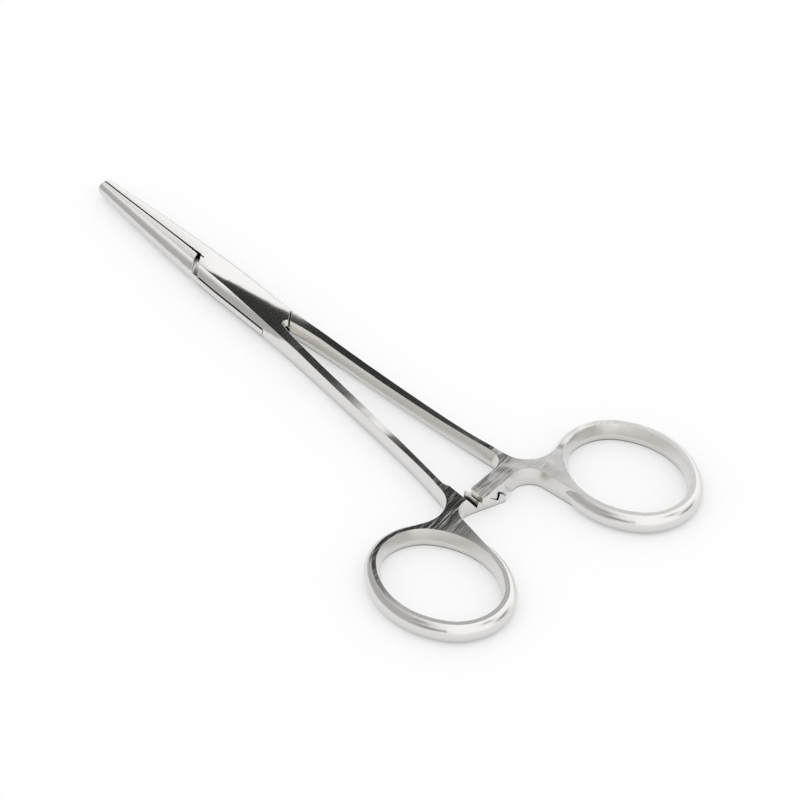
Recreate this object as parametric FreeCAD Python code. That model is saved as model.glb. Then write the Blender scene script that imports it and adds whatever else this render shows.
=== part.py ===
import FreeCAD, Part
import math
import os

# Box-lock haemostatic forceps, 14 cm, straight jaws, in stainless steel.
# Frame: the pivot axis is +Z through the origin, the table is z = 0, the rings
# lie towards +X and the jaws towards -X. The male half carries the ring on +Y.
# Lengths are millimetres and angles are degrees.

V = FreeCAD.Vector

# Overall lengths, measured from the pivot axis
jaw_reach = 42.5
ring_reach = 82.9
ring_spread = 22.0

# Thickness of the blank along the instrument
blank_thickness = 4.0
tip_thickness = 2.6
shank_thickness = 3.2

# Closed width of the instrument
tip_width = 3.3
box_width = 8.1
tip_round = 0.5
jaw_taper_bow = 0.33

# Box lock
jaw_end = 4.0
plate_reach = 12.9
plate_edge_angle = 47.0
slot_thickness = 1.70
slot_radius = 11.15
tongue_clearance = 0.10
tongue_end_clearance = 0.15
tongue_neck_gap = 0.40
slit_width = 0.35
shoulder_gap = 0.75
shoulder_bow = 0.45
pin_radius = 1.60
pin_running_clearance = 0.03

# Jaw faces
serration_pitch = 0.75
serration_depth = 0.20
serration_start = 0.5
serration_heel_run = 2.1
tip_gap = 0.05
heel_gap = 0.60
heel_gap_power = 5

# Shanks
shank_start = 20.0
shank_end = 62.0
shank_end_outer = 7.45
shank_end_inner = 5.20
shank_flare = 0.13
shank_flare_power = 8
shank_thin_power = 0.7
shank_bevel = 0.50
shank_inner_bevel = 0.70

# Half the gap between the shanks: at its crotch, and at distances behind the crotch
crotch_gap = 0.36
crotch_inset = 0.20
shank_gap_stations = ((2.3, 0.62), (7.3, 1.22), (23.3, 2.55), (37.3, 3.85))

# Finger rings
ring_hole_length = 26.0
ring_hole_width = 20.3
ring_band = 0.90
ring_bulge = 1.30
ring_ridge = 0.75
ring_join_angle = 50.0

# Ratchet racks
rack_radius = 70.25
rack_width = 3.9
rack_lean = 0.2
rack_pitch = 2.15
rack_tooth_height = 1.45
rack_steep_run = 0.35
rack_teeth = 3
rack_face_gap = 0.45
rack_back_gap = 0.20
rack_mesh_shift = -0.45
rack_root_run = 2.0
rack_end_trim = 0.20
rack_end_round = 0.5
rack_draft = 0.10
rack_rear_bevel = 0.15
rack_end_bevel = 0.15

# Web between shank, rack and ring
web_bevel = 0.45
web_crotch_round = 2.8
web_outer_round = 5.5
web_inner_round = 3.4
web_outer_tangent_angle = 18.0
web_inner_tangent_angle = 98.0
web_sink = 0.05

half = blank_thickness / 2
mid_z = half
box_half_width = box_width / 2
margin = 1.0
place_tolerance = 0.01


def at(x, y, z=0.0):
    """A point whose z is measured from the middle plane of the blank."""
    return V(x, y, mid_z + z)


def prism(points, z_low=-half - margin, z_high=half + margin):
    """A closed plan polygon raised between two heights about the middle plane."""
    corners = [at(x, y, z_low) for x, y in points]
    face = Part.Face(Part.makePolygon(corners + corners[:1]))
    return face.extrude(V(0, 0, z_high - z_low))


def disc(radius, z_low=-half - margin, z_high=half + margin):
    """A round plug on the pivot axis."""
    return Part.makeCylinder(radius, z_high - z_low, at(0, 0, z_low))


def spread(start, end, count):
    """Evenly spaced values with both ends included."""
    return [start + (end - start) * i / (count - 1) for i in range(count)]


def mirrored(points):
    return [(x, -y) for x, y in points]


def side_curves(y_top, y_ridge, height, roundness):
    """Upper and lower run of one side: quarter-rounds on a jaw, draft facets on a shank."""
    runs = []
    for sign in (1, -1):
        flat = ((y_top + y_ridge) / 2, height / 2)
        bow = (y_top + (y_ridge - y_top) * math.sqrt(0.5), height * math.sqrt(0.5))
        belly = [f + (b - f) * roundness for f, b in zip(flat, bow)]
        runs.append([(y_top, sign * height), (belly[0], sign * belly[1]), (y_ridge, 0.0)])
    return runs


def section(x, half_width, bevel, height, roundness):
    """One closed cross-section of the closed forceps' outer form."""
    right_up, right_down = side_curves(half_width - bevel, half_width, height, roundness)
    left_up, left_down = side_curves(bevel - half_width, -half_width, height, roundness)
    runs = [
        [left_up[0], right_up[0]],
        right_up,
        right_down[::-1],
        [right_down[0], left_down[0]],
        left_down,
        left_up[::-1],
    ]
    edges = []
    for run in runs:
        points = [at(x, y, z) for y, z in run]
        if len(points) == 3 and roundness > 0:
            edges.append(Part.Arc(*points).toShape())
        else:
            edges.append(Part.makeLine(points[0], points[-1]))
    return Part.Wire(edges)


def jaw_share(x):
    """How far a jaw has grown from its tip's size to the box's, flattening at the box."""
    run = (x + jaw_reach) / (jaw_reach - jaw_end)
    return (1 + jaw_taper_bow) * run - jaw_taper_bow * run ** 3


def jaw_height(x):
    return tip_thickness / 2 + (half - tip_thickness / 2) * jaw_share(x)


def jaw_half_width(x):
    return tip_width / 2 + (box_half_width - tip_width / 2) * jaw_share(x)


def shank_run(x):
    return (x - shank_start) / (shank_end - shank_start)


def shank_height(x):
    """Half thickness along the shanks, thinnest halfway to the rings."""
    thinning = math.sin(min(1.0, shank_run(x)) * math.pi) ** shank_thin_power
    return half - (half - shank_thickness / 2) * thinning


def shank_outer(x):
    """Distance of a shank's outer ridge from the centre line, flaring at its end."""
    run = shank_run(x)
    share = (1 - shank_flare) * run + shank_flare * run ** shank_flare_power
    return box_half_width + (shank_end_outer - box_half_width) * share


def end_slope():
    """Slope of a shank's outer ridge where the web begins."""
    step = 0.01
    return (shank_end_outer - shank_outer(shank_end - step)) / step


def with_true_planes(loft):
    """The same solid, with each level face a plane instead of a flat patch of a free surface."""
    faces = []
    for face in loft.Faces:
        if face.BoundBox.ZLength < place_tolerance:
            outward = Part.Plane(face.Vertexes[0].Point, face.normalAt(0, 0))
            face = Part.Face(outward, [face.OuterWire])
        faces.append(face)
    return Part.Solid(Part.Shell(faces))


def outer_form():
    """The forceps as they lie closed, from the tips to the webs, with no gaps cut."""
    jaws = []
    for x in spread(-jaw_reach, -jaw_end, 6):
        height = jaw_height(x)
        jaws.append(section(x, jaw_half_width(x), height, height, 1))
    box = [jaws[-1], section(shank_start, box_half_width, shank_bevel, half, 0)]
    shanks = [box[-1]]
    for x in spread(shank_start, shank_end, 6)[1:]:
        shanks.append(section(x, shank_outer(x), shank_bevel, shank_height(x), 0))
    jaws = Part.makeLoft(jaws, True, False)
    nose = [e for e in jaws.Edges if e.BoundBox.XMax < -jaw_reach + place_tolerance]
    jaws = jaws.makeFillet(tip_round, nose)
    box = with_true_planes(Part.makeLoft(box, True, True))
    shanks = Part.makeLoft(shanks, True, False)
    return jaws.fuse([box, shanks]).removeSplitter()


def shank_inner_line():
    """Plan line of a shank's inner ridge, from the crotch to the web."""
    crotch_x = plate_reach - crotch_inset
    line = [(crotch_x, crotch_gap / 2)]
    line += [(crotch_x + run, y) for run, y in shank_gap_stations]
    return line + [(shank_end, shank_end_inner)]


def shank_gap():
    """The wedge between the shanks, narrowest at the middle plane, open towards the rings."""
    line = shank_inner_line()

    def outline(grow, z):
        right = [(x, y + grow) for x, y in line]
        curve = Part.BSplineCurve()
        curve.interpolate([at(x, y, z) for x, y in right])
        other = Part.BSplineCurve()
        other.interpolate([at(x, y, z) for x, y in mirrored(right)[::-1]])
        end = right[-1]
        crotch = Part.Arc(
            at(*mirrored(right)[0], z),
            at(line[0][0] - crotch_gap / 2 - grow, 0, z),
            at(*right[0], z),
        )
        return Part.Wire([
            curve.toShape(),
            Part.makeLine(at(*end, z), at(end[0], -end[1], z)),
            other.toShape(),
            crotch.toShape(),
        ])

    reach = half + margin
    grow = shank_inner_bevel * reach / half
    upper = Part.makeLoft([outline(0, 0), outline(grow, reach)], True, True)
    lower = Part.makeLoft([outline(0, 0), outline(grow, -reach)], True, True)
    return upper.fuse(lower)


def jaw_gap(x):
    """Width of the gap between the jaw faces, closing towards the tips."""
    run = (x + jaw_reach) / (jaw_reach - plate_reach)
    return tip_gap + (heel_gap - tip_gap) * max(0.0, run) ** heel_gap_power


def jaw_face(side, heel):
    """Plan line of one jaw's toothed gripping face, from beyond the tip to its heel."""
    first = -jaw_reach + serration_start
    teeth = round((-plate_reach - serration_heel_run - first) / serration_pitch)
    line = [(-jaw_reach - margin, side * jaw_gap(-jaw_reach) / 2)]
    line.append((first, side * jaw_gap(first) / 2))
    for tooth in range(teeth):
        for share, swing in ((0.25, 1), (0.75, -1)):
            x = first + (tooth + share) * serration_pitch
            line.append((x, side * jaw_gap(x) / 2 + swing * serration_depth / 2))
    last = first + teeth * serration_pitch
    for x in (last, heel):
        line.append((x, side * jaw_gap(x) / 2))
    return line


def plate_edge(y, offset=0.0):
    """X of the box plates' slanted rear edge at a given y, moved out by an offset."""
    angle = math.radians(plate_edge_angle)
    return plate_reach + offset / math.sin(angle) - y / math.tan(angle)


def shoulder(y_from, y_to, count=7):
    """Hollow shoulder of the male jaw, facing the plates' front edge across a gap."""
    line = []
    for y in spread(y_from, y_to, count):
        share = (y - y_from) / (y_to - y_from)
        bow = shoulder_bow * math.sin(math.pi * share)
        line.append((-plate_edge(-y, shoulder_gap + bow), y))
    return line


def female_plan():
    """Where the female half has the blank's full thickness, box plates included."""
    side = 2 * box_half_width
    heel = -plate_edge(-heel_gap / 2)
    return prism(jaw_face(1, heel) + [
        (-plate_edge(side), -side),
        (shank_end, -side),
        (shank_end, 0),
        (plate_edge(0), 0),
        (plate_edge(side), side),
        (-jaw_reach - margin, side),
    ])


def male_plan():
    """Where the male half has the blank's full thickness, ahead of and behind the box."""
    side = 2 * box_half_width
    hollow = shoulder(-heel_gap / 2, -box_half_width - margin)
    jaw = prism(jaw_face(-1, hollow[0][0]) + hollow[1:] + [
        (hollow[-1][0], -side),
        (-jaw_reach - margin, -side),
    ])
    shank = prism([
        (plate_edge(0, slit_width), 0),
        (shank_end, 0),
        (shank_end, side),
        (plate_edge(side, slit_width), side),
    ])
    return jaw, shank


def crossing(radius, neck_gap, reach):
    """Plan of the lap inside the slot: a disc with a neck to the jaw and one to the shank."""
    side = 2 * box_half_width
    bound = plate_reach + 3 * margin
    jaw_edge = heel_gap / 2 - neck_gap
    jaw_neck = [(0, -side), (0, jaw_edge), (-bound, jaw_edge), (-bound, -side)]
    shank_neck = [(0, side), (0, neck_gap), (bound, neck_gap), (bound, side)]
    necks = [prism(points, -reach, reach) for points in (jaw_neck, shank_neck)]
    return disc(radius, -reach, reach).fuse(necks)


def offset_corner(before, here, after):
    """Where the two inset edges that meet at a corner cross, and which way they turn."""
    lines = []
    for (x0, y0, _, inset), (x1, y1, _, _) in ((before, here), (here, after)):
        length = math.hypot(x1 - x0, y1 - y0)
        ux, uy = (x1 - x0) / length, (y1 - y0) / length
        lines.append((x0 - uy * inset, y0 + ux * inset, ux, uy, inset))
    (ax, ay, aux, auy, a_inset), (bx, by, bux, buy, b_inset) = lines
    turn = aux * buy - auy * bux
    t = ((bx - ax) * buy - (by - ay) * bux) / turn
    inset = (a_inset + b_inset) / 2
    radius = here[2] - inset if turn > 0 else here[2] + inset
    return (ax + t * aux, ay + t * auy), (aux, auy), (bux, buy), radius


def rounded_outline(corners, z, insets=1.0):
    """A plan outline with a fillet at each corner, its edges drawn in by their own insets."""
    rows = [(x, y, r, inset * insets) for x, y, r, inset in corners]
    runs = []
    for i, here in enumerate(rows):
        following = rows[(i + 1) % len(rows)]
        (x, y), (aux, auy), (bux, buy), radius = offset_corner(rows[i - 1], here, following)
        if here[2] == 0:
            runs.append([(x, y)])
            continue
        cos_turn = aux * bux + auy * buy
        reach = radius * math.sqrt((1 - cos_turn) / (1 + cos_turn))
        start = (x - aux * reach, y - auy * reach)
        end = (x + bux * reach, y + buy * reach)
        bisector = (bux - aux, buy - auy)
        length = math.hypot(*bisector)
        sagitta = radius * (1 / math.sqrt((1 + cos_turn) / 2) - 1)
        middle = (x + bisector[0] / length * sagitta, y + bisector[1] / length * sagitta)
        runs.append([start, middle, end])
    edges = []
    for i, run in enumerate(runs):
        points = [at(px, py, z) for px, py in run]
        if len(points) == 3:
            edges.append(Part.Arc(*points).toShape())
        following = runs[(i + 1) % len(runs)][0]
        edges.append(Part.makeLine(points[-1], at(*following, z)))
    return Part.Wire(edges)


def ring_arcs():
    """The finger hole's mouth as a four-centre oval: centre, radius, first angle and sweep of each arc."""
    join = ring_join_angle
    turn = math.radians(join)
    end_shift = (ring_hole_length - ring_hole_width) / 2 / (1 + math.tan(turn) - 1 / math.cos(turn))
    side_shift = end_shift * math.tan(turn)
    end_radius = ring_hole_length / 2 - end_shift
    side_radius = ring_hole_width / 2 + side_shift
    return [
        (ring_reach + end_shift, ring_spread, end_radius, -join, 2 * join),
        (ring_reach, ring_spread - side_shift, side_radius, join, 180 - 2 * join),
        (ring_reach - end_shift, ring_spread, end_radius, 180 - join, 2 * join),
        (ring_reach, ring_spread + side_shift, side_radius, 180 + join, 180 - 2 * join),
    ]


def ring():
    """The ring: flat faces, a barrel-shaped outer side and a hole narrowest at its middle ridge."""
    wedges = []
    for x, y, radius, first, sweep in ring_arcs():
        ridge, mouth = radius - ring_ridge, radius + ring_band
        edges = [
            Part.makeLine(V(ridge, 0, 0), V(radius, 0, half)),
            Part.makeLine(V(radius, 0, half), V(mouth, 0, half)),
            Part.Arc(V(mouth, 0, half), V(mouth + ring_bulge, 0, 0), V(mouth, 0, -half)).toShape(),
            Part.makeLine(V(mouth, 0, -half), V(radius, 0, -half)),
            Part.makeLine(V(radius, 0, -half), V(ridge, 0, 0)),
        ]
        wedge = Part.Face(Part.Wire(edges)).revolve(V(), V(0, 0, 1), sweep)
        wedge.rotate(V(), V(0, 0, 1), first)
        wedge.translate(at(x, y))
        wedges.append(wedge)
    return wedges[0].fuse(wedges[1:]).removeSplitter()


def ring_plug():
    """An upright oval plug that reaches halfway under the ring's flat face."""
    edges = []
    for x, y, radius, first, sweep in ring_arcs():
        reach = radius + ring_band / 2
        angles = [math.radians(first + sweep * share) for share in (0, 0.5, 1)]
        points = [at(x + reach * math.cos(a), y + reach * math.sin(a), -half - margin) for a in angles]
        edges.append(Part.Arc(*points).toShape())
    return Part.Face(Part.Wire(edges)).extrude(V(0, 0, 2 * (half + margin)))


def rack_line(shift):
    """Toothed line of a rack, as (y, z) from the root to the free end, teeth facing up."""
    low = -(rack_tooth_height + rack_face_gap) / 2
    high = low + rack_tooth_height
    centre = rack_teeth / 2
    line = []
    for tooth in range(rack_teeth):
        tip = (tooth - centre) * rack_pitch + rack_steep_run / 2 + rack_back_gap / 2 + shift
        line += [(tip - rack_steep_run, low), (tip, high)]
    ramp = rack_pitch - rack_steep_run - rack_end_trim
    line.append((tip + ramp, high - rack_tooth_height * ramp / (rack_pitch - rack_steep_run)))
    return [(line[0][0] - rack_root_run, half)] + line


def ring_tangent(arc, degrees):
    """Where the web's side, sunk a little, leaves a ring arc, counted from -X to -Y, and its slope."""
    x, y, radius, _, _ = ring_arcs()[arc]
    reach = radius + ring_band + web_bevel - web_sink
    angle = math.radians(degrees)
    return x - reach * math.cos(angle), y - reach * math.sin(angle), -1 / math.tan(angle)


def rack_corner(side_x, x, y, slope):
    """Where a leaning side of the rack arm meets a line through a point at a given slope."""
    cross_y = (y + slope * (side_x - x)) / (1 + slope * rack_lean)
    return side_x - rack_lean * cross_y, cross_y


def web(rack_end):
    """Web, rack arm and the shank's end as one drafted plate, in plan on the +Y side."""
    touch_x, touch_y, slope = ring_tangent(2, web_outer_tangent_angle)
    inner_x, inner_y, inner_slope = ring_tangent(3, web_inner_tangent_angle)
    rise = end_slope()
    corner_x = (touch_y - slope * touch_x - shank_end_outer + rise * shank_end) / (rise - slope)
    corner_y = shank_end_outer + rise * (corner_x - shank_end)
    (x0, y0), (x1, y1) = shank_inner_line()[-2:]
    front = rack_radius - rack_width / 2
    rear = rack_radius + rack_width / 2
    corners = [
        (shank_end, shank_end_inner, 0, shank_inner_bevel),
        (*rack_corner(front, x1, y1, (y1 - y0) / (x1 - x0)), web_crotch_round, rack_draft),
        (*rack_corner(front, 0, -rack_end, 0), rack_end_round, rack_end_bevel),
        (*rack_corner(rear, 0, -rack_end, 0), rack_end_round, rack_rear_bevel),
        (*rack_corner(rear, inner_x, inner_y, inner_slope), web_inner_round, web_bevel),
        (inner_x, inner_y, 0, 0),
        (ring_reach, ring_spread, 0, 0),
        (touch_x, touch_y, 0, web_bevel),
        (corner_x, corner_y, web_outer_round, shank_bevel),
        (shank_end, shank_end_outer, 0, 0),
    ]
    middle = rounded_outline(corners, 0, 0)
    halves = [Part.makeLoft([middle, rounded_outline(corners, z)], True, True) for z in (half, -half)]
    return halves[0].fuse(halves[1])


def handle(shift):
    """Web, rack arm with its teeth facing down, and finger ring, on the +Y side."""
    line = rack_line(shift)
    body = web(line[-1][0]).cut(ring_plug()).fuse(ring())
    teeth = [at(0, -y, -z) for y, z in line]
    end_y = -line[-1][0] - margin
    below = [at(0, end_y, teeth[-1].z - mid_z), at(0, end_y, -half - margin)]
    root = at(0, teeth[0].y, -half - margin)
    face = Part.Face(Part.makePolygon(teeth + below + [root, teeth[0]]))
    reach = rack_width / 2 + 2 * margin
    face.translate(V(rack_radius - reach, 0, 0))
    teeth_void = face.extrude(V(2 * reach, 0, 0))
    return body.cut(teeth_void)


def turned_over(shape):
    """The same form turned half a turn about the forceps' long axis."""
    return shape.rotated(at(0, 0), V(1, 0, 0), 180)


def build():
    form = outer_form()
    shanks_apart = form.cut(shank_gap())
    slot_half = slot_thickness / 2
    slot = crossing(slot_radius, 0, slot_half)
    tongue_radius = slot_radius - tongue_end_clearance
    tongue = crossing(tongue_radius, tongue_neck_gap, slot_half - tongue_clearance)
    pin_hole = disc(pin_radius)

    female = shanks_apart.common(female_plan()).cut([slot, pin_hole])
    female = female.fuse(turned_over(handle(rack_mesh_shift)))

    jaw, shank = male_plan()
    male = shanks_apart.common(jaw.fuse([shank, tongue]))
    male = male.cut(disc(pin_radius + pin_running_clearance))
    male = male.fuse(handle(-rack_mesh_shift))

    pin = form.common(pin_hole)
    return {"female_half": female, "male_half": male, "pivot_pin": pin}


if __name__ == "__main__":
    os.makedirs("parts", exist_ok=True)
    for name, shape in build().items():
        shape = shape.removeSplitter()
        box = shape.BoundBox
        print(name, shape.isValid(), len(shape.Solids), len(shape.Faces), round(shape.Volume, 2), box)
        shape.exportStep(f"parts/{name}.step")
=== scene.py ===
# %% [markdown]
# # Box-lock haemostatic forceps
#
# The object is a 14 cm surgical clamp: two stainless steel forgings that cross in a box lock and turn
# about a flush rivet. The construction comes ready-made as a fixed frame. This lesson dresses it:
# a hand-polished steel, brushed where a belt can't reach, in the white light of a product studio.

# %% Load the frame
import math

import bpy
import numpy as np
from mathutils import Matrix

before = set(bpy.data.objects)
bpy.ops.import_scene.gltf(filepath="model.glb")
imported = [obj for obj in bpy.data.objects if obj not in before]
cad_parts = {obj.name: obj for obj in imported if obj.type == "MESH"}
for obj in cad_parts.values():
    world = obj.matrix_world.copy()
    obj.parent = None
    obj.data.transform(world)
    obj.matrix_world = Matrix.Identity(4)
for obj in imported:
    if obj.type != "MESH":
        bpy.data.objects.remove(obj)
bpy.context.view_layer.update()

MM = 0.001

# %% [markdown]
# ## Two helpers
#
# Colours are written as the hex codes that a paint program shows, and a shader wants linear light.
# One function turns the first into the second. Another adds a shader node, sets its properties and
# links its inputs, so that every material below reads as a list of what feeds what.

# %% Colour and node helpers
def linear(hex_code):
    """An sRGB hex code as linear RGBA: each channel is undone from its display curve."""
    srgb = np.array([int(hex_code[i:i + 2], 16) for i in (1, 3, 5)]) / 255
    light = np.where(srgb <= 0.04045, srgb / 12.92, ((srgb + 0.055) / 1.055) ** 2.4)
    return (*map(float, light), 1.0)


def add_node(tree, kind, inputs=None, **settings):
    """Adds one node. Each of its inputs is given a value, an output, or a node for its first output."""
    made = tree.nodes.new(kind)
    for name, value in settings.items():
        setattr(made, name, value)
    for socket, value in (inputs or {}).items():
        if isinstance(value, bpy.types.Node):
            value = value.outputs[0]
        if isinstance(value, bpy.types.NodeSocket):
            tree.links.new(value, made.inputs[socket])
        else:
            made.inputs[socket].default_value = value
    return made


print("white paper in linear light:", linear("#F4F3F1")[:3])

# %% [markdown]
# ## The camera
#
# A product photographer stands back and uses a long lens, so that near and far ring look alike in
# size. The camera's place is given as the angles of its view line and the distance along it.

# %% Camera
VIEW_TARGET = (39.09 * MM, 5.22 * MM, 0.0)
VIEW_DISTANCE = 1.1018
VIEW_ELEVATION = math.radians(41.478)
VIEW_AZIMUTH = math.radians(50.172 - 90)
SENSOR_WIDTH = 36.0
FOCAL_LENGTH = 270.6

towards_camera = np.array([
    math.cos(VIEW_ELEVATION) * math.cos(VIEW_AZIMUTH),
    math.cos(VIEW_ELEVATION) * math.sin(VIEW_AZIMUTH),
    math.sin(VIEW_ELEVATION),
])
camera_data = bpy.data.cameras.new("camera")
camera_data.lens = FOCAL_LENGTH
camera_data.sensor_width = SENSOR_WIDTH
camera_data.clip_start = 0.05
camera_data.clip_end = 20.0
camera = bpy.data.objects.new("camera", camera_data)
camera.location = np.array(VIEW_TARGET) + VIEW_DISTANCE * towards_camera
camera.rotation_euler = (math.pi / 2 - VIEW_ELEVATION, 0.0, math.pi / 2 + VIEW_AZIMUTH)
bpy.context.scene.collection.objects.link(camera)
bpy.context.scene.camera = camera
print("camera at", [round(v, 3) for v in camera.location], "lens", FOCAL_LENGTH)

# %% [markdown]
# ## The steel
#
# Surgical forceps are forged from martensitic stainless steel, ground on belts and polished. A
# polished metal has almost no colour of its own: what the eye reads as its shape is the studio
# mirrored in it. So the shader is a plain metal with a low roughness, and the work goes into the
# surface normal, the roughness and a few dark lines. All lengths are millimetres of the real
# object, so each pattern keeps its size on it.
#
# A polisher treats each stretch in its own way, from the jaws at x = -42 to the rings at x = 98, and
# one stretch runs into the next. So the values that change along the instrument come first.

# %% Values along the instrument
CROWN = 0.0120
ROLL_HEIGHT = 0.25
LEAN = 0.035
WAVE_HEIGHT = 0.016

# Each value: from x, to x, what it is at the one and at the other, and how it eases between them
FADES = {
    "crown": (0.0, 20.0, -CROWN, 0.0, "SMOOTHSTEP"),
    "crown_middle": (-10.0, 12.0, -1.6, 1.6, "LINEAR"),
    "roll": (68.0, 60.0, 0.0, ROLL_HEIGHT, "SMOOTHSTEP"),
    "far_lean": (12.0, 20.0, 0.0, LEAN, "SMOOTHSTEP"),
    "before_far_web": (67.0, 62.0, 0.0, 1.0, "SMOOTHSTEP"),
    "near_lean": (44.0, 56.0, 0.0, LEAN, "SMOOTHSTEP"),
    "wave": (56.0, 66.0, WAVE_HEIGHT, 2 * WAVE_HEIGHT, "SMOOTHSTEP"),
    "ring": (70.0, 84.0, 0.0, 1.0, "LINEAR"),
    "jaw": (-8.0, -15.0, 0.0, 1.0, "LINEAR"),
}


def fade_along(tree, x):
    """Adds a node for each of FADES and returns them by name."""
    faded = {}
    for name, (start, end, at_start, at_end, easing) in FADES.items():
        faded[name] = add_node(tree, "ShaderNodeMapRange", {
            "Value": x,
            "From Min": start,
            "From Max": end,
            "To Min": at_start,
            "To Max": at_end,
        }, interpolation_type=easing)
    return faded


print("values that change along x:", ", ".join(FADES))

# %% [markdown]
# ## The relief that polishing leaves
#
# No hand-ground face is truly flat. The box is crowned across, a belt that rolls along the handles
# leaves a slow swell, and each handle leans a little where it was pressed to the wheel. These slopes
# of one to five degrees decide which face mirrors a dark gap and which a white panel.
#
# Short slanting strokes stay on the webs, where a belt can't run lengthwise. Real ones are some
# 0.02 mm wide, finer than a pixel, so they are drawn coarser here. One height field in millimetres
# holds all of it, and a bump turns that into normals.

# %% Relief
ROLL_START = -12.9
ROLL_CENTRE = -2.0
ROLL_LENGTH = 11.0
NEAR_LEAN_FOOT = 4.0
WAVE_LENGTH = 5.0
WEB_MIDDLE = 69.0
WEB_REACH = 11.0
WEB_FULL = 4.0
STROKE_WIDTH = 0.30
STROKE_LENGTH = 5.0
STROKE_HEIGHT = 0.006
STROKE_TRACE = 0.05
STROKE_ANGLE = math.radians(-75)


def relief(tree, mm, x, y, faded):
    """The height in mm, the pattern of the strokes, and how high they stand from shanks to webs."""
    # The crown falls away on both sides of its middle, which drifts across the box.
    off = add_node(tree, "ShaderNodeMath", {0: y, 1: faded["crown_middle"]}, operation="SUBTRACT")
    square = add_node(tree, "ShaderNodeMath", {0: off, 1: off}, operation="MULTIPLY")
    height = add_node(tree, "ShaderNodeMath", {0: square, 1: faded["crown"]}, operation="MULTIPLY")

    # The swell starts behind the jaws and ends before the webs.
    behind = add_node(tree, "ShaderNodeMath", {0: x, 1: ROLL_START}, operation="MAXIMUM")
    phase = add_node(tree, "ShaderNodeMath", {0: behind, 1: ROLL_CENTRE}, operation="SUBTRACT")
    phase = add_node(tree, "ShaderNodeMath", {0: phase, 1: 1 / ROLL_LENGTH}, operation="MULTIPLY")
    swell = add_node(tree, "ShaderNodeMath", {0: phase}, operation="COSINE")

    # The far handle, at positive y, leans up to its web. The near one leans from the end of its shank on.
    far_share = add_node(tree, "ShaderNodeMath", {
        0: faded["far_lean"],
        1: faded["before_far_web"],
    }, operation="MULTIPLY")
    far_side = add_node(tree, "ShaderNodeMath", {0: y, 1: 0.0}, operation="MAXIMUM")
    past_foot = add_node(tree, "ShaderNodeMath", {0: y, 1: NEAR_LEAN_FOOT}, operation="ADD")
    near_side = add_node(tree, "ShaderNodeMath", {0: past_foot, 1: 0.0}, operation="MINIMUM")
    waves = add_node(tree, "ShaderNodeTexNoise", {"Vector": mm, "Scale": 1 / WAVE_LENGTH, "Detail": 1.0})

    # The strokes keep to the webs, and a trace of them is left along the shanks.
    slanted = add_node(tree, "ShaderNodeMapping", {
        "Vector": mm,
        "Rotation": (0.0, 0.0, STROKE_ANGLE),
    }, vector_type="TEXTURE")
    drawn = add_node(tree, "ShaderNodeVectorMath", {
        0: slanted,
        1: (1 / STROKE_LENGTH, 1 / STROKE_WIDTH, 1 / STROKE_LENGTH),
    }, operation="MULTIPLY")
    strokes = add_node(tree, "ShaderNodeTexNoise", {"Vector": drawn, "Scale": 1.0, "Detail": 3.0})
    from_web = add_node(tree, "ShaderNodeMath", {0: x, 1: WEB_MIDDLE}, operation="SUBTRACT")
    from_web = add_node(tree, "ShaderNodeMath", {0: from_web}, operation="ABSOLUTE")
    on_web = add_node(tree, "ShaderNodeMapRange", {
        "Value": from_web,
        "From Min": WEB_REACH,
        "From Max": WEB_FULL,
        "To Min": STROKE_TRACE * STROKE_HEIGHT,
        "To Max": STROKE_HEIGHT,
    }, interpolation_type="SMOOTHSTEP")

    for pattern, strength in (
        (swell, faded["roll"]),
        (far_side, far_share),
        (near_side, faded["near_lean"]),
        (waves, faded["wave"]),
        (strokes, on_web),
    ):
        height = add_node(tree, "ShaderNodeMath", {
            0: pattern,
            1: strength,
            2: height,
        }, operation="MULTIPLY_ADD")
    return height, strokes, on_web


print("strokes", STROKE_WIDTH, "mm wide, waves", WAVE_LENGTH, "mm long")

# %% [markdown]
# ## Scratches and dark lines
#
# The flats are polished last and are the smoothest. Walls keep more of the belt's scratches, which
# blurs what they mirror, and jaws and rings are left satin, so that they don't dazzle or slip.
#
# Light that enters the narrow gaps of a closed lock doesn't come out again. Some of these gaps are
# thinner than a pixel, so the slot's mouth on the box's sides and the gap between the jaws are drawn
# as dark lines of painted shade. They are drawn by place, for the closed forceps: when the forceps
# open, the jaws' inner faces and the steps beside the tongue show them too.

# %% Roughness and lines
POLISH_ROUGHNESS = 0.07
WALL_ROUGHNESS = 0.17
JAW_ROUGHNESS = 0.24
RING_ROUGHNESS = 0.26
STROKE_ROUGHNESS = 0.20
SCUFF_FROM = 0.46
SCUFF_TO = 0.74
# A face's levelness runs from 0, upright, to 1, level. Up to the first value it counts as a wall.
WALL_LEVELNESS = 0.85
FLAT_LEVELNESS = 0.98

MIDDLE_HEIGHT = 2.0
# Lines of painted shade, at the slot's mouth and in the gap between the jaws.
# Each line is where all of its values lie within a width of a middle.
SLOT_SHADE_LINE = {"above_middle": (0.85, 0.16), "along": (-0.6, 9.6), "aside": (4.0, 1.4)}
JAW_SHADE_LINE = {"across": (0.0, 0.16), "x": (-28.0, 16.0)}


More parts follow.
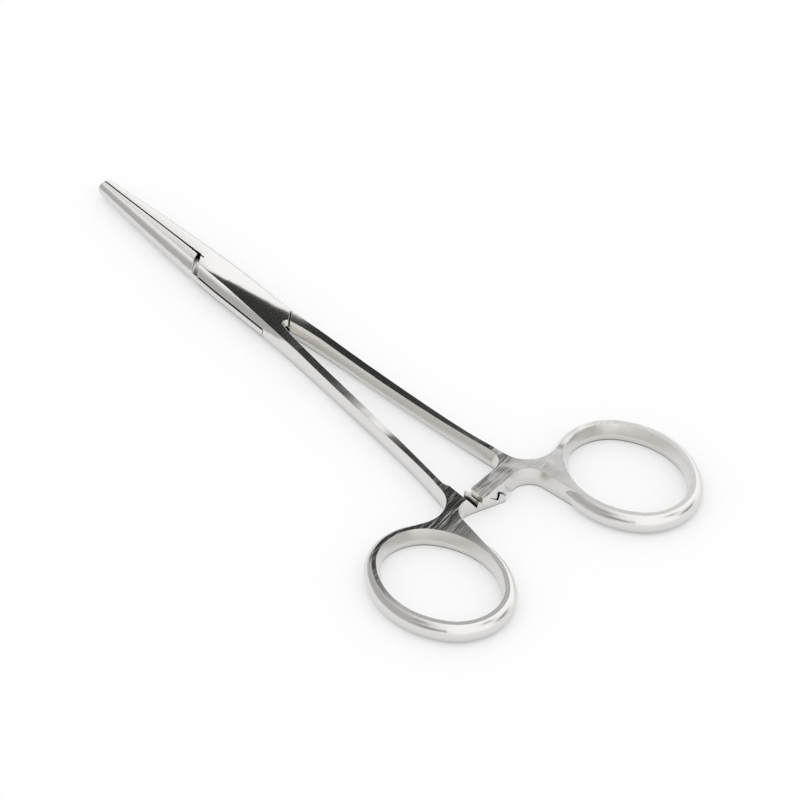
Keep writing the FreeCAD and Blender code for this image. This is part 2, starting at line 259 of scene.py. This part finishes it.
def roughness(tree, normal_z, faded, strokes, on_web):
    """How much each face blurs what it mirrors."""
    levelness = add_node(tree, "ShaderNodeMath", {0: normal_z}, operation="ABSOLUTE")
    flat = add_node(tree, "ShaderNodeMapRange", {
        "Value": levelness,
        "From Min": WALL_LEVELNESS,
        "From Max": FLAT_LEVELNESS,
    })
    base = add_node(tree, "ShaderNodeMix", {"Factor": flat, "A": WALL_ROUGHNESS, "B": POLISH_ROUGHNESS})
    for stretch, satin in (("ring", RING_ROUGHNESS), ("jaw", JAW_ROUGHNESS)):
        base = add_node(tree, "ShaderNodeMix", {"Factor": faded[stretch], "A": base, "B": satin})
    scuffed = add_node(tree, "ShaderNodeMapRange", {
        "Value": strokes,
        "From Min": SCUFF_FROM,
        "From Max": SCUFF_TO,
        "To Max": STROKE_ROUGHNESS / STROKE_HEIGHT,
    })
    scuffed = add_node(tree, "ShaderNodeMath", {0: scuffed, 1: flat}, operation="MULTIPLY")
    return add_node(tree, "ShaderNodeMath", {0: scuffed, 1: on_web, 2: base}, operation="MULTIPLY_ADD")


def painted_shade_lines(tree, x, y, z):
    """1 on the lines of painted shade and 0 elsewhere."""
    above = add_node(tree, "ShaderNodeMath", {0: z, 1: MIDDLE_HEIGHT}, operation="SUBTRACT")
    side = add_node(tree, "ShaderNodeMath", {0: y}, operation="SIGN")
    values = {
        "x": x,
        "across": y,
        "aside": add_node(tree, "ShaderNodeMath", {0: y}, operation="ABSOLUTE"),
        "above_middle": add_node(tree, "ShaderNodeMath", {0: above}, operation="ABSOLUTE"),
        "along": add_node(tree, "ShaderNodeMath", {0: side, 1: x}, operation="MULTIPLY"),
    }
    lines = 0.0
    for places in (SLOT_SHADE_LINE, JAW_SHADE_LINE):
        line = 1.0
        for name, (middle, width) in places.items():
            within = add_node(tree, "ShaderNodeMath", {
                0: values[name],
                1: middle,
                2: width,
            }, operation="COMPARE")
            line = add_node(tree, "ShaderNodeMath", {0: line, 1: within}, operation="MULTIPLY")
        lines = add_node(tree, "ShaderNodeMath", {0: lines, 1: line}, operation="MAXIMUM")
    return lines


print("roughness", POLISH_ROUGHNESS, "on flats,", WALL_ROUGHNESS, "on walls")

# %% [markdown]
# ## Hand-polished stainless steel
#
# The shader joins these. Every edge is broken with a stone, which gives it a thin bright line,
# except round the pin: its rivet head is ground flush with the box, so its seam must not show.
# Narrow corners get little light, so their colour is darkened there as painted shade, found by ambient
# occlusion.

# %% Steel material
STEEL_COLOUR = "#DFDDDA"
# The near-black of the painted shade in narrow corners and on the gap lines.
CREVICE_SHADE_COLOUR = "#1E1A18"
CREVICE_SHADE_REACH = 0.9 * MM
CREVICE_DARK = 0.30
CREVICE_CLEAR = 0.72
EDGE_RADIUS = 0.09 * MM
PIN_CLEAR = 2.4


def polished_steel():
    material = bpy.data.materials.new("hand_polished_stainless_steel")
    material.use_nodes = True
    tree = material.node_tree
    tree.nodes.clear()
    place = add_node(tree, "ShaderNodeTexCoord")
    mm = add_node(tree, "ShaderNodeVectorMath", {
        0: place.outputs["Object"],
        "Scale": 1 / MM,
    }, operation="SCALE")
    x, y, z = add_node(tree, "ShaderNodeSeparateXYZ", {0: mm}).outputs
    facing = add_node(tree, "ShaderNodeSeparateXYZ", {0: place.outputs["Normal"]})
    faded = fade_along(tree, x)
    height, strokes, on_web = relief(tree, mm, x, y, faded)

    level_mm = add_node(tree, "ShaderNodeVectorMath", {0: mm, 1: (1.0, 1.0, 0.0)}, operation="MULTIPLY")
    from_pin = add_node(tree, "ShaderNodeVectorMath", {0: level_mm}, operation="LENGTH")
    clear_of_pin = add_node(tree, "ShaderNodeMath", {
        0: from_pin.outputs["Value"],
        1: PIN_CLEAR,
    }, operation="GREATER_THAN")
    radius = add_node(tree, "ShaderNodeMath", {0: clear_of_pin, 1: EDGE_RADIUS}, operation="MULTIPLY")
    rounded = add_node(tree, "ShaderNodeBevel", {"Radius": radius}, samples=6)
    normal = add_node(tree, "ShaderNodeBump", {"Height": height, "Distance": MM, "Normal": rounded})

    # Painted shade: the colour darkens towards a near-black where ambient occlusion finds walls close by.
    crevice_shade_ao = add_node(tree, "ShaderNodeAmbientOcclusion", {"Distance": CREVICE_SHADE_REACH}, samples=8)
    clear = add_node(tree, "ShaderNodeMapRange", {
        "Value": crevice_shade_ao.outputs["AO"],
        "From Min": CREVICE_DARK,
        "From Max": CREVICE_CLEAR,
    })
    # Painted shade: dark lines at the slot's mouth on the box's sides and along the gap between the jaws.
    lines = painted_shade_lines(tree, x, y, z)
    clear = add_node(tree, "ShaderNodeMath", {0: clear, 1: lines}, operation="SUBTRACT", use_clamp=True)
    colour = add_node(tree, "ShaderNodeMix", {
        "Factor": clear,
        "A": linear(CREVICE_SHADE_COLOUR),
        "B": linear(STEEL_COLOUR),
    }, data_type="RGBA")
    shader = add_node(tree, "ShaderNodeBsdfPrincipled", {
        "Base Color": colour.outputs["Result"],
        "Metallic": 1.0,
        "Roughness": roughness(tree, facing.outputs["Z"], faded, strokes, on_web),
        "Normal": normal,
    })
    add_node(tree, "ShaderNodeOutputMaterial", {"Surface": shader})
    return material


steel = polished_steel()
for name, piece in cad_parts.items():
    piece.data.materials.clear()
    piece.data.materials.append(steel)
print("steel on", len(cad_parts), "pieces")

# %% [markdown]
# ## The floor
#
# The forceps lie on a white sheet that fades into the light. A matt white plane takes the soft
# contact shadow. To the camera and to the metal it is whiter than it is as a source of light, as an
# overexposed sweep is, and its shadow is lifted by the same overexposure.

# %% Floor
FLOOR_SIZE = 6.0
SHADOW_LIFT = 0.4
PAPER_COLOUR = "#EDEBE8"
WHITE = "#FFFFFF"


def white_sweep():
    material = bpy.data.materials.new("white_paper_sweep")
    material.use_nodes = True
    tree = material.node_tree
    tree.nodes.clear()
    path = add_node(tree, "ShaderNodeLightPath")
    seen = add_node(tree, "ShaderNodeMath", {
        0: path.outputs["Is Camera Ray"],
        1: path.outputs["Is Glossy Ray"],
    }, operation="MAXIMUM")
    tone = add_node(tree, "ShaderNodeMix", {
        "Factor": seen,
        "A": linear(PAPER_COLOUR),
        "B": linear(WHITE),
    }, data_type="RGBA")
    paper = add_node(tree, "ShaderNodeBsdfDiffuse", {"Color": tone.outputs["Result"]})
    blown_out = add_node(tree, "ShaderNodeEmission", {"Color": linear(WHITE), "Strength": 1.0})
    share = add_node(tree, "ShaderNodeMath", {0: seen, 1: SHADOW_LIFT}, operation="MULTIPLY")
    sheet = add_node(tree, "ShaderNodeMixShader", {0: share, 1: paper, 2: blown_out})
    add_node(tree, "ShaderNodeOutputMaterial", {"Surface": sheet})
    return material


floor_mesh = bpy.data.meshes.new("floor")
reach = FLOOR_SIZE / 2
corners = [(-reach, -reach, 0), (reach, -reach, 0), (reach, reach, 0), (-reach, reach, 0)]
floor_mesh.from_pydata(corners, [], [(0, 1, 2, 3)])
floor_mesh.materials.append(white_sweep())
floor = bpy.data.objects.new("floor", floor_mesh)
bpy.context.scene.collection.objects.link(floor)
print("floor of", FLOOR_SIZE, "m")

# %% [markdown]
# ## The studio
#
# A light tent is white almost all round. What gives polished steel its depth is the dark gap
# between two of the tent's panels: a flat face that mirrors the gap turns nearly black beside one
# that mirrors a panel. The open front, where the photographer stands, is dimmer and turns the near
# walls a soft grey. The world shader draws that tent as a function of direction for mirror rays,
# and stays an even white for the soft light that falls on the floor.

# %% World
# Each gap, in degrees: azimuth, right and left edge from there, foot, head, then how soft the foot
# is and how soft the other edges are. Last comes how much the foot drops per degree to the left.
GAPS = (
    (142.0, -12.0, 9.0, 40.2, 54.0, 0.4, 1.7, 0.55),
    (45.0, -16.0, 16.0, 8.0, 24.0, 6.0, 8.0, 0.0),
)
REPEAT = math.radians(120)
FRONT_AZIMUTH = math.radians(225)
FRONT_HEIGHT = math.radians(10)
FRONT_EDGE = 0.30
FRONT_CORE = 0.90
PANEL_LIGHT = 1.25
FRONT_LIGHT = 0.52
GAP_LIGHT = 0.04
LEVEL_LIGHT = 1.0


def light_tent():
    world = bpy.data.worlds.new("light_tent")
    world.use_nodes = True
    tree = world.node_tree
    tree.nodes.clear()
    ray = add_node(tree, "ShaderNodeTexCoord").outputs["Generated"]
    axes = add_node(tree, "ShaderNodeSeparateXYZ", {"Vector": ray})
    azimuth = add_node(tree, "ShaderNodeMath", {
        0: axes.outputs["Y"],
        1: axes.outputs["X"],
    }, operation="ARCTAN2")
    height = add_node(tree, "ShaderNodeMath", {0: axes.outputs["Z"]}, operation="ARCSINE")

    # Four soft edges cut each gap out of the panels. The wrapped azimuth repeats it every 120 degrees.
    dark = 0.0
    for middle, right, left, foot, head, foot_softness, softness, slant in GAPS:
        turned = add_node(tree, "ShaderNodeMath", {
            0: azimuth,
            1: math.radians(middle),
        }, operation="SUBTRACT")
        aside = add_node(tree, "ShaderNodeMath", {
            0: turned,
            1: REPEAT / 2,
            2: -REPEAT / 2,
        }, operation="WRAP")
        slanting = add_node(tree, "ShaderNodeMath", {
            0: aside,
            1: slant,
            2: height,
        }, operation="MULTIPLY_ADD")
        gap = 1.0
        for value, edge, soft, falls in (
            (slanting, foot, foot_softness, False),
            (height, head, softness, True),
            (aside, right, softness, False),
            (aside, left, softness, True),
        ):
            cover = add_node(tree, "ShaderNodeMapRange", {
                "Value": value,
                "From Min": math.radians(edge - soft),
                "From Max": math.radians(edge + soft),
                "To Min": float(falls),
                "To Max": float(not falls),
            }, interpolation_type="SMOOTHSTEP")
            gap = add_node(tree, "ShaderNodeMath", {0: gap, 1: cover}, operation="MULTIPLY")
        dark = add_node(tree, "ShaderNodeMath", {0: dark, 1: gap}, operation="MAXIMUM")

    front = add_node(tree, "ShaderNodeVectorMath", {
        0: ray,
        1: (
            math.cos(FRONT_HEIGHT) * math.cos(FRONT_AZIMUTH),
            math.cos(FRONT_HEIGHT) * math.sin(FRONT_AZIMUTH),
            math.sin(FRONT_HEIGHT),
        ),
    }, operation="DOT_PRODUCT")
    panel = add_node(tree, "ShaderNodeMapRange", {
        "Value": front.outputs["Value"],
        "From Min": FRONT_EDGE,
        "From Max": FRONT_CORE,
        "To Min": PANEL_LIGHT,
        "To Max": FRONT_LIGHT,
    }, interpolation_type="SMOOTHSTEP")
    glow = add_node(tree, "ShaderNodeMix", {"Factor": dark, "A": panel, "B": GAP_LIGHT})
    path = add_node(tree, "ShaderNodeLightPath")
    seen = add_node(tree, "ShaderNodeMix", {
        "Factor": path.outputs["Is Glossy Ray"],
        "A": LEVEL_LIGHT,
        "B": glow,
    })
    light = add_node(tree, "ShaderNodeBackground", {"Color": linear(WHITE), "Strength": seen})
    add_node(tree, "ShaderNodeOutputWorld", {"Surface": light})
    return world


scene = bpy.context.scene
scene.world = light_tent()
scene.view_settings.view_transform = "Standard"
print("light tent with dark gaps from", [gap[3] for gap in GAPS], "degrees up")
